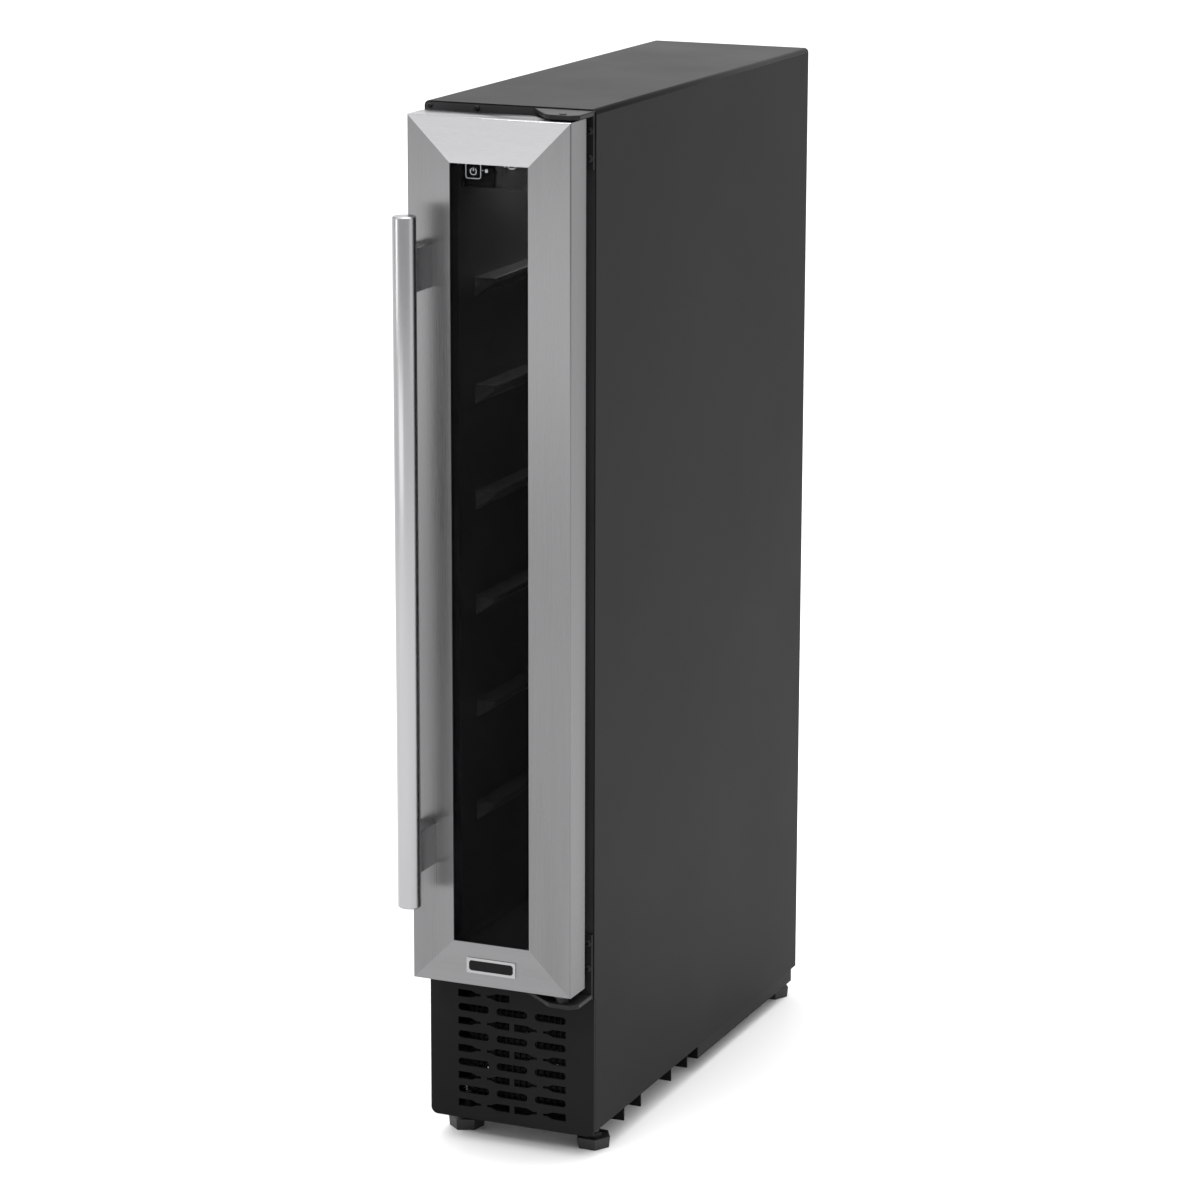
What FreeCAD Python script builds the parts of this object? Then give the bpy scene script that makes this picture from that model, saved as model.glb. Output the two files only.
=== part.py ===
import FreeCAD, Part
import math
import os
import Sketcher

# A slim built-in wine cooler: an insulated cabinet with one column of bottle bays, a glazed steel
# door hinged on the right, and the cooling machine in its base. Millimetres. +X is the cabinet's
# right seen from the front, +Y is its back, +Z is up. The origin is on the floor, in the middle
# of the whole outline, handle and wall spacers included.

DIMENSIONS = {
    # cabinet
    "cabinet_width": 148,
    "cabinet_top": 870,
    "cabinet_depth": 471,
    "front_plane": -201,
    "shell_bottom": 25,
    "shell_corner": 4,
    "sheet": 1,
    "crossbar_bottom": 141,
    "strip_screw_height": 866,
    "face_opening_half": 52,
    "face_opening_bottom": 169,
    "face_opening_top": 853.5,
    # liner and the bays inside it
    "liner_half": 45,
    "liner_wall": 2,
    "liner_floor": 176,
    "liner_ceiling": 846,
    "liner_depth": 440,
    "liner_corner": 7,
    "hump_start": 312,
    "hump_top": 270,
    "foam_hump_bottom": 248,
    "rest_lowest": 288,
    "rest_pitch": 87.6,
    "rest_reach": 17.5,
    "rest_root": 16.5,
    "rest_tip": 4,
    "rest_start": 30,
    "rest_end": 405,
    # door
    "door_half": 70.1,
    "door_bottom": 153.6,
    "door_top": 864,
    "door_front": -40,
    "door_rear": -10.5,
    "member_width": 36.5,
    "skin": 1.2,
    "glass_half": 52,
    "glass_thick": 4,
    "spacer_thick": 12,
    "gasket_out": 63,
    "gasket_in": 50,
    "gasket_rear": -1.2,
    "hinge_across": 58,
    "hinge_forward": -28,
    "pin_radius": 3,
    "bush_radius": 5,
    "running_gap": 0.05,
    # handle
    "handle_across": -56.6,
    "handle_forward": -74.5,
    "handle_radius": 9.5,
    "handle_bottom": 226,
    "handle_top": 789,
    "post_width": 16,
    "post_tall": 35,
    "post_low": 271.5,
    "post_high": 745.9,
    "badge_half": 21.8,
    "badge_low": 164.5,
    "badge_tall": 13,
    # grille
    "grille_bottom": 21,
    "grille_thick": 2,
    "slot_half": 48.7,
    "slot_top_row": 130.5,
    "row_pitch": 12,
    "slot_tall": 6.3,
    # base
    "base_bottom": 13,
    "foot_across": 58,
    "foot_front": 36,
    "foot_rear": 453,
    "foot_radius": 15.4,
    "foot_taper": 0.9,
    "stem_radius": 5,
    "stem_top": 44,
    # cooling machine
    "fan_radius": 38,
    "cabin_fan_height": 745,
    "base_fan_height": 84,
    "base_fan_forward": 63,
    "can_radius": 52,
    "can_back": 395,
    "can_bottom": 38,
    "can_top": 168,
    "suction_radius": 3,
    "discharge_radius": 2.5,
    "tube_bend": 12,
    "spacer_reach": 15,
}

# where the two small screws stand in the strip above the door, across the cabinet
STRIP_SCREWS = (-69, -28)
FOOT_TURNS = {
    "foot_front_left": -10,
    "foot_front_right": 29,
    "foot_rear_left": 12,
    "foot_rear_right": 33,
}

doc = FreeCAD.newDocument("wine_cooler")
nodes = []


class Size:
    """A length with the sheet expression that gives it, so sums keep both in step."""

    def __init__(self, number, text):
        self.number = number
        self.text = text

    def join(self, sign, other, number):
        return Size(number, f"({self.text} {sign} {other.text})")

    def __add__(self, other):
        other = as_size(other)
        return self.join("+", other, self.number + other.number)

    def __sub__(self, other):
        other = as_size(other)
        return self.join("-", other, self.number - other.number)

    def __mul__(self, other):
        other = as_size(other)
        return self.join("*", other, self.number * other.number)

    def __truediv__(self, other):
        other = as_size(other)
        return self.join("/", other, self.number / other.number)

    def __radd__(self, other):
        return as_size(other) + self

    def __rsub__(self, other):
        return as_size(other) - self

    def __rmul__(self, other):
        return as_size(other) * self

    def __neg__(self):
        return as_size(0) - self


def as_size(value):
    return value if isinstance(value, Size) else Size(float(value), f"{value:g}")


class Sizes:
    """The sheet's cells by name."""


def write_sheet():
    sheet = doc.addObject("Spreadsheet::Sheet", "Dims")
    sizes = Sizes()
    for row, (alias, value) in enumerate(DIMENSIONS.items(), 1):
        sheet.set(f"A{row}", alias)
        sheet.set(f"B{row}", str(value))
        sheet.setAlias(f"B{row}", alias)
        setattr(sizes, alias, Size(float(value), f"Dims.{alias}"))
    doc.recompute()
    return sizes


d = write_sheet()
half_width = d.cabinet_width / 2
inner_half = half_width - d.sheet
front = d.front_plane
rear = front + d.cabinet_depth
door_face = front + d.door_front
door_back = front + d.door_rear
opening_half = d.door_half - d.member_width
opening_low = d.door_bottom + d.member_width
opening_high = d.door_top - d.member_width
glass_low = opening_low - (d.glass_half - opening_half)
glass_high = opening_high + (d.glass_half - opening_half)
hinge_x = d.hinge_across
hinge_y = front + d.hinge_forward
can_y = front + d.can_back
axis_turn = {
    "x": FreeCAD.Rotation(FreeCAD.Vector(0, 1, 0), 90),
    "y": FreeCAD.Rotation(FreeCAD.Vector(1, 0, 0), -90),
    "z": FreeCAD.Rotation(),
}


# ---- building blocks ------------------------------------------------------------------------

def bind(obj, prop, size):
    obj.setExpression(prop, as_size(size).text)


def move(obj, x=0, y=0, z=0):
    for axis, size in zip("xyz", (x, y, z)):
        bind(obj, f".Placement.Base.{axis}", size)
    return obj


def box(x, y, z):
    """A block between the low and high of each pair."""
    block = doc.addObject("Part::Box", "Block")
    for prop, (low, high) in zip(("Length", "Width", "Height"), (x, y, z)):
        bind(block, prop, high - low)
    return move(block, x[0], y[0], z[0])


def both(size):
    """The pair from minus a size to plus it."""
    return -size, size


def rod(radius, axis, start, length):
    """A cylinder from a start point along an axis."""
    round_bar = doc.addObject("Part::Cylinder", "Rod")
    bind(round_bar, "Radius", radius)
    bind(round_bar, "Height", length)
    round_bar.Placement = FreeCAD.Placement(FreeCAD.Vector(), axis_turn[axis])
    return move(round_bar, *start)


def turned(obj, axis, degrees, start=(0, 0, 0)):
    """Turns a body about an axis through its own origin and moves it to a start point."""
    vector = FreeCAD.Vector(*[float(axis == name) for name in "xyz"])
    obj.Placement = FreeCAD.Placement(FreeCAD.Vector(), FreeCAD.Rotation(vector, degrees))
    return move(obj, *start)


def together(parts):
    """Several pieces as one tool or one node of separate solids."""
    if len(parts) == 1:
        return parts[0]
    group = doc.addObject("Part::Compound", "Group")
    group.Links = parts
    return group


def joined(parts):
    """Pieces fused into one solid."""
    fused = doc.addObject("Part::MultiFuse", "Joined")
    fused.Shapes = parts
    fused.Refine = True
    return fused


def cut(base, *tools):
    """A base with one or more tools taken out of it, one after the other."""
    for tool in tools:
        difference = doc.addObject("Part::Cut", "Trimmed")
        difference.Base = base
        difference.Tool = tool
        base = difference
    return base


def common(base, tool):
    overlap = doc.addObject("Part::Common", "Overlap")
    overlap.Base = base
    overlap.Tool = tool
    return overlap


def keep(label, shape):
    """Names a finished sub-part."""
    shape.Label = label
    nodes.append(shape)
    return shape


def new_body():
    return doc.addObject("PartDesign::Body", "Body")


def draw(body, plane, outline, offset=0):
    """A closed sketch. Each corner is (across, up) or (across, up, rounding radius); a rounded
    corner joins two edges that run along the sketch's axes."""
    sketch = body.newObject("Sketcher::SketchObject", "Outline")
    origin_planes = body.Origin.OriginFeatures
    sketch.AttachmentSupport = [(next(p for p in origin_planes if p.Role == plane), "")]
    sketch.MapMode = "FlatFace"
    bind(sketch, ".AttachmentOffset.Base.z", offset)
    add_outline(sketch, outline)
    return sketch


def add_outline(sketch, outline):
    """Adds one closed outline to a sketch, with every corner bound to the sheet."""
    corners = [tuple(as_size(value) for value in corner) for corner in outline]
    count = len(corners)
    ends = []
    for index, corner in enumerate(corners):
        if len(corner) == 2:
            ends.append((corner, corner))
            continue
        across, up, radius = corner
        tangent_points = []
        for other in (corners[index - 1], corners[(index + 1) % count]):
            step_x = math.copysign(1, (other[0] - across).number)
            step_y = math.copysign(1, (other[1] - up).number)
            if abs((other[0] - across).number) > abs((other[1] - up).number):
                tangent_points.append((across + step_x * radius, up))
            else:
                tangent_points.append((across, up + step_y * radius))
        ends.append(tuple(tangent_points))
    lines = []
    for index in range(count):
        start = ends[index][1]
        stop = ends[(index + 1) % count][0]
        line = sketch.addGeometry(Part.LineSegment(point(start), point(stop)), False)
        lines.append(line)
        for end, place in ((1, start), (2, stop)):
            pin_point(sketch, line, end, place)
    for index, corner in enumerate(corners):
        if len(corner) == 3:
            add_corner(sketch, corner, ends[index])


def add_corner(sketch, corner, tangent_points):
    """A quarter arc between a rounded corner's two tangent points."""
    radius = corner[2]
    start, stop = (point(place) for place in tangent_points)
    tip = point(corner)
    centre = start + stop - tip
    bulge = centre + (tip - centre) * (radius.number / (tip - centre).Length)
    arc = sketch.addGeometry(Part.Arc(start, bulge, stop), False)
    first = sketch.getPoint(arc, 1)
    if (first - start).Length < (first - stop).Length:
        order = tangent_points
    else:
        order = tuple(reversed(tangent_points))
    for end, place in zip((1, 2), order):
        pin_point(sketch, arc, end, place)
    held = sketch.addConstraint(Sketcher.Constraint("Radius", arc, radius.number))
    bind(sketch, f"Constraints[{held}]", radius)


def point(place):
    return FreeCAD.Vector(place[0].number, place[1].number, 0)


def pin_point(sketch, edge, end, place):
    """Binds an edge's end to its distances from the sketch's origin."""
    for kind, size in zip(("DistanceX", "DistanceY"), place):
        held = sketch.addConstraint(Sketcher.Constraint(kind, -1, 1, edge, end, size.number))
        bind(sketch, f"Constraints[{held}]", size)


def pad(body, sketch, length):
    feature = body.newObject("PartDesign::Pad", "Pad")
    feature.Profile = sketch
    bind(feature, "Length", length)
    body.Tip = feature
    return feature


def pocket(body, sketch):
    """Cuts an outline right through, on both sides of its plane."""
    feature = body.newObject("PartDesign::Pocket", "Pocket")
    feature.Profile = sketch
    feature.Type = "ThroughAll"
    feature.Midplane = True
    body.Tip = feature
    return feature


def repeat_up(body, features, count, step):
    """Repeats pockets along the sketch's upward axis, downwards when the step is negative."""
    pattern = body.newObject("PartDesign::LinearPattern", "Rows")
    pattern.Originals = features
    pattern.Direction = (features[0].Profile[0], ["V_Axis"])
    pattern.Reversed = step.number < 0
    bind(pattern, "Length", (count - 1) * (step if step.number > 0 else -step))
    pattern.Occurrences = count
    body.Tip = pattern
    return pattern


def prism(plane, outline, low, high):
    """An outline pulled between two places along its plane's normal."""
    body = new_body()
    start = -high if plane == "XZ_Plane" else low
    pad(body, draw(body, plane, outline, start), high - low)
    return body


def rectangle(x, z, radius=None):
    corners = [(x[0], z[0]), (x[1], z[0]), (x[1], z[1]), (x[0], z[1])]
    if radius is None:
        return corners
    return [corner + (radius,) for corner in corners]


def spin(profile, start, axis="z"):
    """A profile of (radius, height) corners turned about its own axis, then placed."""
    body = new_body()
    feature = body.newObject("PartDesign::Revolution", "Turned")
    feature.Profile = draw(body, "XZ_Plane", profile)
    feature.ReferenceAxis = (feature.Profile[0], ["V_Axis"])
    feature.Angle = 360
    body.Tip = feature
    body.Placement = FreeCAD.Placement(FreeCAD.Vector(), axis_turn[axis])
    return move(body, *start)


def round_edges(body, radius, chosen):
    """Rounds the edges of a body's last feature that a test picks out."""
    doc.recompute()
    base = body.Tip
    names = [f"Edge{n}" for n, edge in enumerate(base.Shape.Edges, 1) if chosen(edge)]
    fillet = body.newObject("PartDesign::Fillet", "Rounded")
    fillet.Base = (base, names)
    bind(fillet, "Radius", radius)
    body.Tip = fillet
    return body


def ring(outer_x, outer_z, inner_x, inner_z, y, radius=None):
    """A flat rectangular ring standing upright between two places in depth."""
    body = new_body()
    pad(body, draw(body, "XZ_Plane", rectangle(outer_x, outer_z), -y[1]), y[1] - y[0])
    pocket(body, draw(body, "XZ_Plane", rectangle(inner_x, inner_z, radius), -y[1]))
    return body


def bent_tube(route, radius, bend):
    """A tube along straight runs joined by tangent arcs, and the length of its centre line."""
    points = [FreeCAD.Vector(*[as_size(value).number for value in place]) for place in route]
    edges = []
    start = points[0]
    for before, corner, after in zip(points, points[1:], points[2:]):
        back = (before - corner).normalize()
        ahead = (after - corner).normalize()
        half_angle = back.getAngle(ahead) / 2
        reach = bend.number / math.tan(half_angle)
        middle = (back + ahead).normalize()
        centre = corner + middle * (bend.number / math.sin(half_angle))
        first = corner + back * reach
        last = corner + ahead * reach
        edges.append(Part.LineSegment(start, first).toShape())
        edges.append(Part.Arc(first, centre - middle * bend.number, last).toShape())
        start = last
    edges.append(Part.LineSegment(start, points[-1]).toShape())
    path = Part.Wire(edges)
    section = Part.Wire([Part.makeCircle(radius.number, points[0], points[1] - points[0])])
    tube = doc.addObject("Part::Feature", "Tube")
    tube.Shape = path.makePipeShell([section], True, True)
    expected = math.pi * radius.number ** 2 * path.Length
    if abs(tube.Shape.Volume / expected - 1) > 0.01:
        raise ValueError("a tube's volume differs from its section times its length")
    return tube


# ---- cabinet --------------------------------------------------------------------------------

def outer_shell():
    """One sheet folded over the top and down both sides, set back behind the grille."""
    left_side = -half_width
    inside = d.shell_corner - d.sheet
    outline = [
        (left_side, d.shell_bottom),
        (left_side, d.cabinet_top, d.shell_corner),
        (half_width, d.cabinet_top, d.shell_corner),
        (half_width, d.shell_bottom),
        (inner_half, d.shell_bottom),
        (inner_half, d.cabinet_top - d.sheet, inside),
        (-inner_half, d.cabinet_top - d.sheet, inside),
        (-inner_half, d.shell_bottom),
    ]
    wrap = prism("XZ_Plane", outline, front, rear)
    notch = box(
        both(half_width + 1),
        (front - 1, front + d.grille_thick + 0.3),
        (d.grille_bottom, d.crossbar_bottom),
    )
    keep("outer_shell", cut(wrap, notch))


def flange_screw_heights():
    """The heights of the two screws in the upper and in the lower hinge flange."""
    return (190, 168.5), (853.5, 832)


def flange_screws(radius, y):
    lower, upper = flange_screw_heights()
    return [rod(radius, "y", (69.5, y[0], z), y[1] - y[0]) for z in lower + upper]


def front_frame():
    """The steel face behind the door that the gasket seals on, with a bar over the grille."""
    body = ring(
        both(inner_half),
        (d.crossbar_bottom, d.cabinet_top - d.sheet),
        both(d.face_opening_half),
        (d.face_opening_bottom, d.face_opening_top),
        (front, front + 1.2),
    )
    corner = d.shell_corner - d.sheet
    round_edges(body, corner, is_upper_outer_corner)
    strip_holes = [rod(1, "y", (x, front - 1, d.strip_screw_height), 3) for x in STRIP_SCREWS]
    keep("front_frame", cut(body, *flange_screws(2, (front - 1, front + 3)), *strip_holes))


def is_upper_outer_corner(edge):
    """True for the frame's short depthwise edges at its two upper outer corners."""
    middle = edge.CenterOfMass
    high = middle.z > d.cabinet_top.number - 2
    return high and abs(middle.x) > inner_half.number - 1 and edge.Length < 2


def back_panel():
    panel = box(
        both(inner_half),
        (rear - d.sheet, rear),
        (d.foam_hump_bottom, d.cabinet_top - d.shell_corner),
    )
    keep("back_panel", panel)


def rear_cover():
    """The machine compartment's cover, with rows of air slots and the cord gland's hole."""
    low = d.base_bottom + 20
    body = new_body()
    outline = rectangle(both(inner_half), (low, d.foam_hump_bottom - 0.5))
    pad(body, draw(body, "XZ_Plane", outline, -rear), d.sheet)
    slot = (low + 60, low + 64)
    row = draw(body, "XZ_Plane", rectangle((as_size(-52), as_size(-4)), slot, as_size(1.9)))
    add_outline(row, rectangle((as_size(4), as_size(52)), slot, as_size(1.9)))
    repeat_up(body, [pocket(body, row)], 10, as_size(13))
    gland_hole = rod(8, "y", (45, rear - 5, low + 30), 10)
    keep("rear_cover", cut(body, gland_hole))


def liner_space(grow):
    """The cabin's volume, or the liner's outside when grown by the wall's thickness."""
    half = d.liner_half + grow
    floor = d.liner_floor - grow
    ceiling = d.liner_ceiling + grow
    corner = d.liner_corner + grow
    back = front + d.liner_depth + grow
    space = prism("XZ_Plane", rectangle(both(half), (floor, ceiling), corner), front, back)
    hump_front = front + d.hump_start + grow
    hump = box(both(half + 1), (hump_front, back + 1), (floor - 1, d.hump_top - grow))
    return cut(space, hump)


def insulation():
    """Foam between the outer sheets and the liner, with a step over the compressor."""
    depth_outline = [
        (front + 1.2, d.crossbar_bottom + 6),
        (front + 328, d.crossbar_bottom + 6),
        (front + 328, d.foam_hump_bottom),
        (rear - d.sheet, d.foam_hump_bottom),
        (rear - d.sheet, d.cabinet_top - d.shell_corner),
        (front + 1.2, d.cabinet_top - d.shell_corner),
    ]
    block = prism("YZ_Plane", depth_outline, -inner_half, inner_half)
    drain = rod(6, "z", (0, front + 431, d.foam_hump_bottom - 5), 30)
    # the suction tube's channel: the crossing is slimmer than the riser and ends on its axis
    riser = rod(4.2, "z", (-30, front + 455, d.foam_hump_bottom - 5), 97)
    crossing = rod(3.8, "y", (-30, front + 438, 335), 17)
    mouth = box(
        both(d.face_opening_half),
        (front, front + 2.2),
        (d.face_opening_bottom, d.face_opening_top),
    )
    holes = flange_screws(2, (front, front + 8))
    tools = [liner_space(d.liner_wall), drain, riser, crossing, mouth]
    keep("insulation", cut(block, *tools, *holes))


def inner_liner():
    """The formed plastic cabin: walls, a step over the compressor, and a flange at its mouth."""
    walls = liner_space(d.liner_wall)
    flange = prism(
        "XZ_Plane",
        rectangle(
            both(d.face_opening_half),
            (d.face_opening_bottom, d.face_opening_top),
            as_size(3),
        ),
        front,
        front + 2,
    )
    shape = joined([walls, flange])
    drain = rod(4, "z", (0, front + 431, d.hump_top - 5), 10)
    crossing = rod(3.2, "y", (-30, front + 435, 335), 12)
    keep("inner_liner", cut(shape, liner_space(as_size(0)), drain, crossing))


def bottle_rests(side, name):
    """Six ledges on one wall: flat on top, sloping underneath from the wall to the tip."""
    wall = side * d.liner_half
    tip = side * (d.liner_half - d.rest_reach)
    ledges = []
    for level in range(6):
        top = d.rest_lowest + level * d.rest_pitch
        outline = [
            (wall, top - d.rest_root),
            (tip, top - d.rest_tip),
            (tip, top),
            (wall, top),
        ]
        ledge = prism("XZ_Plane", outline, front + d.rest_start, front + d.rest_end)
        ledges.append(ledge)
    keep(name, together(ledges))


def duct_cover():
    """The panel in front of the evaporator, with a round fan grille and return slots below."""
    body = new_body()
    outline = rectangle(
        both(d.liner_half), (d.hump_top, d.liner_ceiling), d.liner_corner
    )
    back = front + 420
    pad(body, draw(body, "XZ_Plane", outline, -back), 2)
    slot = (as_size(292), as_size(296))
    row = draw(body, "XZ_Plane", rectangle(both(as_size(24)), slot, as_size(1.9)))
    repeat_up(body, [pocket(body, row)], 4, as_size(9))
    rings = [fan_grille_ring(radius, front + 415) for radius in (8, 18, 28)]
    keep("duct_cover", cut(body, *rings))


def fan_grille_ring(radius, y):
    """A round air slot with four webs left across it."""
    centre = (0, y, d.cabin_fan_height)
    band = cut(rod(radius + 6, "y", centre, 10), rod(radius, "y", centre, 10))
    webs = []
    for degrees in (45, 135):
        web = turned(doc.addObject("Part::Box", "Web"), "y", degrees)
        for prop, length in (("Length", 90), ("Width", 12), ("Height", 4)):
            bind(web, prop, length)
        slope = math.radians(degrees)
        across = -45 * math.cos(slope) - 2 * math.sin(slope)
        up = 45 * math.sin(slope) - 2 * math.cos(slope)
        move(web, across, y - 1, d.cabin_fan_height + up)
        webs.append(web)
    return cut(band, *webs)


def evaporator_plate():
    """The cold plate with its tube loops standing out of it."""
    plate = box(both(as_size(38)), (front + 430, front + 433), (as_size(300), as_size(640)))
    loops = []
    for index in range(9):
        height = 330 + index * 34
        rise = (as_size(height), as_size(height + 6))
        loops.append(box(both(as_size(34)), (front + 425, front + 430), rise))
    inlet = rod(5, "y", (-30, front + 433, 335), 2)
    keep("evaporator_plate", joined([plate, inlet] + loops))


def fan(frame_label, rotor_label, centre, outer, depth):
    """An axial fan: a square frame with four struts and a motor cup, and a bladed rotor on it."""
    y, z = centre
    opening = d.fan_radius + 1
    block = box(both(outer), (y, y + depth), (z - outer, z + outer))
    hole = rod(opening, "y", (0, y - 1, z), depth + 2)
    struts = [
        box(both(opening + 1), (y + depth - 2, y + depth), (z - 2, z + 2)),
        box(both(as_size(2)), (y + depth - 2, y + depth), (z - opening - 1, z + opening + 1)),
    ]
    cup = rod(14, "y", (0, y + depth - 2.5, z), 2.5)
    bearing = rod(d.pin_radius + d.running_gap, "y", (0, y, z), depth + 1)
    frame = cut(joined([cut(block, hole)] + struts + [cup]), bearing)
    keep(frame_label, frame)
    hub = rod(13, "y", (0, y + 1, z), depth - 4)
    shaft = rod(d.pin_radius, "y", (0, y + 2, z), depth - 2.3)
    blades = []
    root = 9
    for index in range(5):
        blade = doc.addObject("Part::Box", "Blade")
        for prop, size in (("Length", d.fan_radius - 3 - root), ("Width", 1.6), ("Height", depth - 6)):
            bind(blade, prop, size)
        tilt = FreeCAD.Rotation(FreeCAD.Vector(1, 0, 0), -68)
        spoke = FreeCAD.Rotation(FreeCAD.Vector(0, 1, 0), 72 * index + 20)
        blade.Placement = FreeCAD.Placement(FreeCAD.Vector(), spoke * tilt)
        angle = math.radians(72 * index + 20)
        move(blade, root * math.cos(angle), y + 2, z - root * math.sin(angle))
        blades.append(blade)
    keep(rotor_label, joined([joined([hub, shaft])] + blades))


def control_panel():
    """The housing under the cabin's ceiling, its dark glass front and the lamp's cover."""
    y = front + 4
    hollow = box(both(as_size(40)), (y + 2, y + 52), (as_size(806), as_size(840)))
    lamp = box(both(as_size(28)), (y + 12, y + 34), (as_size(800), as_size(807)))
    top = d.liner_ceiling
    outline = rectangle(both(d.liner_half), (as_size(802), top))
    shell = prism("XZ_Plane", outline, y + 2, y + 56)
    ceiling_corner = liner_space(as_size(0))
    keep("control_housing", cut(common(shell, ceiling_corner), hollow, lamp))
    pane = rectangle(both(as_size(43)), (as_size(803), as_size(838)), as_size(2))
    glass = prism("XZ_Plane", pane, y, y + 2)
    keep("control_glass", glass)
    cover = joined([
        box(both(as_size(28)), (y + 12, y + 34), (as_size(800), as_size(803))),
        box(both(as_size(26)), (y + 14, y + 32), (as_size(803), as_size(806))),
    ])
    keep("light_cover", cover)


def temperature_sensor():
    """A small capsule on the right wall with its clip."""
    capsule = rod(3, "y", (d.liner_half - 5, front + 408, 560), 10)
    clip = box((d.liner_half - 5, d.liner_half), (front + 410, front + 416), (as_size(558), as_size(562)))
    keep("temperature_sensor", joined([capsule, clip]))


# ---- grille and base ------------------------------------------------------------------------

def bottle_slot(start, length, tall):
    """A bottle lying on its side, as an air slot: body, shoulder and neck."""
    half = tall / 2
    neck = as_size(1.1)
    row = d.slot_top_row
    return [
        (start, row - half),
        (start + 0.57 * length, row - half),
        (start + 0.83 * length, row - neck),
        (start + length, row - neck),
        (start + length, row + neck),
        (start + 0.83 * length, row + neck),
        (start + 0.57 * length, row + half),
        (start, row + half),
    ]


def front_grille():
    """The plinth panel: rows of bottle-shaped slots alternate with rows of plain slots. The
    right half of the first row is left plain, behind the hinge plate."""
    body = new_body()
    top = d.crossbar_bottom - 0.4
    corner = as_size(6)
    outline = [
        (-half_width, d.grille_bottom, corner),
        (half_width, d.grille_bottom, corner),
        (half_width, top),
        (-half_width, top),
    ]
    pad(body, draw(body, "XZ_Plane", outline, -(front + d.grille_thick)), d.grille_thick)
    end = d.slot_half
    long_bottle = as_size(20.4)
    bases_apart = as_size(2.2)
    tall = d.slot_tall
    double_pitch = -2 * d.row_pitch
    left_row = draw(body, "XZ_Plane", bottle_slot(-end, long_bottle, tall))
    add_outline(left_row, bottle_slot(-bases_apart, -long_bottle, tall))
    repeat_up(body, [pocket(body, left_row)], 5, double_pitch)
    right_bottle = bottle_slot(bases_apart, long_bottle, tall)
    right_row = draw(body, "XZ_Plane", shifted(right_bottle, double_pitch))
    add_outline(right_row, shifted(bottle_slot(end, -long_bottle, tall), double_pitch))
    repeat_up(body, [pocket(body, right_row)], 4, double_pitch)
    half = d.slot_tall / 2
    row = d.slot_top_row - d.row_pitch
    heights = (row - half, row + half)
    round_end = half - 0.1
    outer_start = as_size(20.8)
    plain = draw(body, "XZ_Plane", rectangle((-end, -outer_start), heights, round_end))
    add_outline(plain, rectangle(both(as_size(13.9)), heights, round_end))
    add_outline(plain, rectangle((outer_start, end), heights, round_end))
    repeat_up(body, [pocket(body, plain)], 4, double_pitch)
    keep("front_grille", body)


def shifted(outline, rise):
    return [(across, up + rise) for across, up in outline]


def channel(label, y, holes=()):
    """A cross plate between the side sheets with a flange turned down along each edge."""
    low, high = y
    thick = as_size(1.5)
    plate = box(both(inner_half), (low, high), (d.shell_bottom, d.shell_bottom + thick))
    flanges = []
    for start in (high - 38, high - thick):
        flanges.append(box(both(inner_half), (start, start + thick), (d.base_bottom, d.shell_bottom)))
    keep(label, cut(joined([plate] + flanges), *holes))


def foot_places():
    for side, side_name in ((-1, "left"), (1, "right")):
        for y, end_name in ((d.foot_front, "front"), (d.foot_rear, "rear")):
            yield side * d.foot_across, front + y, f"foot_{end_name}_{side_name}"


def foot_holes(y, radius, low):
    return [rod(radius, "z", (side * d.foot_across, front + y, low), 12) for side in (-1, 1)]


def base_trays():
    channel("front_base_tray", (front + 3, front + 104), foot_holes(d.foot_front, 8, 20))
    channel("middle_base_tray", (front + 170, front + 208))
    y = (front + 232, rear - 9)
    floor = d.base_bottom + 1.5
    tray = box(both(inner_half), y, (d.base_bottom, d.base_bottom + 18))
    hollow = box(both(inner_half - 1.5), (y[0] + 1.5, y[1] - 1.5), (floor, floor + 30))
    holes = foot_holes(d.foot_rear, 8, 10)
    keep("compressor_base", cut(tray, hollow, *holes))


def feet():
    """Four adjustable feet: a hexagonal pad that narrows downwards, a smaller hexagon and a
    stem, each in a bush that is fixed in the tray above it and each turned to its own angle."""
    bushes = []
    for x, y, label in foot_places():
        under = d.shell_bottom if "front" in label else d.base_bottom
        outer = cut(
            joined([rod(8, "z", (x, y, under), 1.5), rod(7.5, "z", (x, y, under), 14)]),
            rod(d.stem_radius + d.running_gap, "z", (x, y, under - 1), 20),
        )
        bushes.append(outer)
        keep(label, one_foot(x, y, FOOT_TURNS[label]))
    keep("foot_bushes", together(bushes))


def one_foot(x, y, turn):
    sole = faceted_cone(6, d.foot_radius - d.foot_taper, d.foot_radius, 0, 9.5, turn)
    hexagon = faceted(6, as_size(8), 9.5, 12.5, turn)
    stem = rod(d.stem_radius, "z", (0, 0, 9), d.stem_top - 9)
    foot = joined([sole, hexagon, stem])
    return move(foot, x, y, 0)


def corner_ring(count, radius, turn):
    """A regular polygon's corners. Unturned, it has a flat facing each side."""
    corners = []
    for index in range(count):
        angle = math.radians((index + 0.5) * 360 / count + turn)
        corners.append((math.cos(angle) * radius, math.sin(angle) * radius))
    return corners


def faceted(count, radius, low, high, turn):
    outline = corner_ring(count, radius, turn)
    return prism("XY_Plane", outline, as_size(low), as_size(high))


def faceted_cone(count, low_radius, high_radius, low, high, turn):
    """A polygon that widens from its lower outline to its upper one."""
    body = new_body()
    loft = body.newObject("PartDesign::AdditiveLoft", "Widened")
    loft.Profile = draw(body, "XY_Plane", corner_ring(count, low_radius, turn), as_size(low))
    upper = corner_ring(count, high_radius, turn)
    loft.Sections = [draw(body, "XY_Plane", upper, as_size(high))]
    loft.Ruled = True
    body.Tip = loft
    return body


# ---- hinges ---------------------------------------------------------------------------------

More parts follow.
